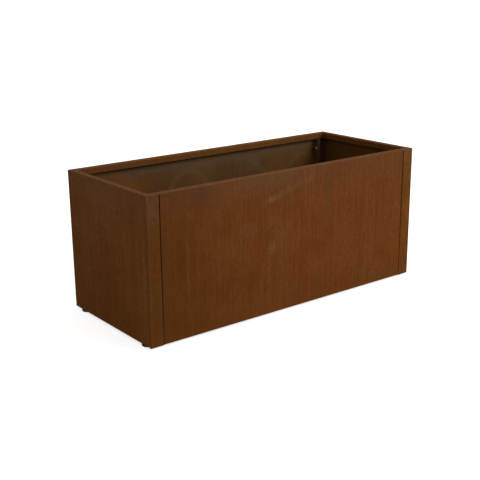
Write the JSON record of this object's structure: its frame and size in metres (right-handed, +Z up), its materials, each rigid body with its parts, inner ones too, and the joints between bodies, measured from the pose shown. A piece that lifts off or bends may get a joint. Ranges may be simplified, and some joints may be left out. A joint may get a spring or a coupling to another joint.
{
  "type": "planter box",
  "caption": "Long rectangular planter box in rusted weathering steel, with a folded rim, wrapped ends bolted at upright seams, a drained floor and screw-in levelling feet.",
  "frame": {"origin": "on the ground, under the middle of the box, with the feet screwed right in", "axes": "+X along the length, -Y towards the front long face, +Z up"},
  "size_m": [1.2, 0.5, 0.508],
  "materials": {
    "weathering_steel": "matte",
    "inner_steel": "matte",
    "zinc_fasteners": "satin",
    "black_plastic": "matte"
  },
  "bodies": {
    "box": {"front_panel": "weathering_steel", "back_panel": "weathering_steel", "left_end_panel": "weathering_steel", "right_end_panel": "weathering_steel", "floor_support_1": "inner_steel", "floor_support_2": "inner_steel", "floor_support_3": "inner_steel", "floor_support_4": "inner_steel", "floor_plate": "inner_steel", "seam_bolt_front_left_1": "zinc_fasteners", "seam_washer_front_left_1": "zinc_fasteners", "seam_nut_front_left_1": "zinc_fasteners", "seam_bolt_front_left_2": "zinc_fasteners", "seam_washer_front_left_2": "zinc_fasteners", "seam_nut_front_left_2": "zinc_fasteners", "seam_bolt_front_left_3": "zinc_fasteners", "seam_washer_front_left_3": "zinc_fasteners", "seam_nut_front_left_3": "zinc_fasteners", "seam_bolt_back_left_1": "zinc_fasteners", "seam_washer_back_left_1": "zinc_fasteners", "seam_nut_back_left_1": "zinc_fasteners", "seam_bolt_back_left_2": "zinc_fasteners", "seam_washer_back_left_2": "zinc_fasteners", "seam_nut_back_left_2": "zinc_fasteners", "seam_bolt_back_left_3": "zinc_fasteners", "seam_washer_back_left_3": "zinc_fasteners", "seam_nut_back_left_3": "zinc_fasteners", "seam_bolt_front_right_1": "zinc_fasteners", "seam_washer_front_right_1": "zinc_fasteners", "seam_nut_front_right_1": "zinc_fasteners", "seam_bolt_front_right_2": "zinc_fasteners", "seam_washer_front_right_2": "zinc_fasteners", "seam_nut_front_right_2": "zinc_fasteners", "seam_bolt_front_right_3": "zinc_fasteners", "seam_washer_front_right_3": "zinc_fasteners", "seam_nut_front_right_3": "zinc_fasteners", "seam_bolt_back_right_1": "zinc_fasteners", "seam_washer_back_right_1": "zinc_fasteners", "seam_nut_back_right_1": "zinc_fasteners", "seam_bolt_back_right_2": "zinc_fasteners", "seam_washer_back_right_2": "zinc_fasteners", "seam_nut_back_right_2": "zinc_fasteners", "seam_bolt_back_right_3": "zinc_fasteners", "seam_washer_back_right_3": "zinc_fasteners", "seam_nut_back_right_3": "zinc_fasteners", "foot_nut_front_left": "inner_steel", "foot_nut_back_left": "inner_steel", "foot_nut_front_right": "inner_steel", "foot_nut_back_right": "inner_steel"},
    "front_left_pad": {"foot_pad_front_left": "black_plastic"},
    "front_left_stud": {"foot_stud_front_left": "zinc_fasteners"},
    "back_left_pad": {"foot_pad_back_left": "black_plastic"},
    "back_left_stud": {"foot_stud_back_left": "zinc_fasteners"},
    "front_right_pad": {"foot_pad_front_right": "black_plastic"},
    "front_right_stud": {"foot_stud_front_right": "zinc_fasteners"},
    "back_right_pad": {"foot_pad_back_right": "black_plastic"},
    "back_right_stud": {"foot_stud_back_right": "zinc_fasteners"}
  },
  "joints": [
    {"name": "front_left_foot_height", "type": "slide", "parent": "box", "child": "front_left_pad", "axis": [0, 0, -1], "range_m": [0, 0.015]},
    {"name": "front_left_foot_turn", "type": "hinge", "parent": "front_left_pad", "child": "front_left_stud", "pos_m": [-0.58, -0.2, 0], "axis": [0, 0, -1], "range_deg": [0, 3600]},
    {"name": "back_left_foot_height", "type": "slide", "parent": "box", "child": "back_left_pad", "axis": [0, 0, -1], "range_m": [0, 0.015]},
    {"name": "back_left_foot_turn", "type": "hinge", "parent": "back_left_pad", "child": "back_left_stud", "pos_m": [-0.58, 0.2, 0], "axis": [0, 0, -1], "range_deg": [0, 3600]},
    {"name": "front_right_foot_height", "type": "slide", "parent": "box", "child": "front_right_pad", "axis": [0, 0, -1], "range_m": [0, 0.015]},
    {"name": "front_right_foot_turn", "type": "hinge", "parent": "front_right_pad", "child": "front_right_stud", "pos_m": [0.58, -0.2, 0], "axis": [0, 0, -1], "range_deg": [0, 3600]},
    {"name": "back_right_foot_height", "type": "slide", "parent": "box", "child": "back_right_pad", "axis": [0, 0, -1], "range_m": [0, 0.015]},
    {"name": "back_right_foot_turn", "type": "hinge", "parent": "back_right_pad", "child": "back_right_stud", "pos_m": [0.58, 0.2, 0], "axis": [0, 0, -1], "range_deg": [0, 3600]}
  ],
  "couplings": [
    {"joint": "front_left_foot_turn", "follows": "front_left_foot_height", "rad_per_m": 4188.8},
    {"joint": "back_left_foot_turn", "follows": "back_left_foot_height", "rad_per_m": 4188.8},
    {"joint": "front_right_foot_turn", "follows": "front_right_foot_height", "rad_per_m": 4188.8},
    {"joint": "back_right_foot_turn", "follows": "back_right_foot_height", "rad_per_m": 4188.8}
  ]
}
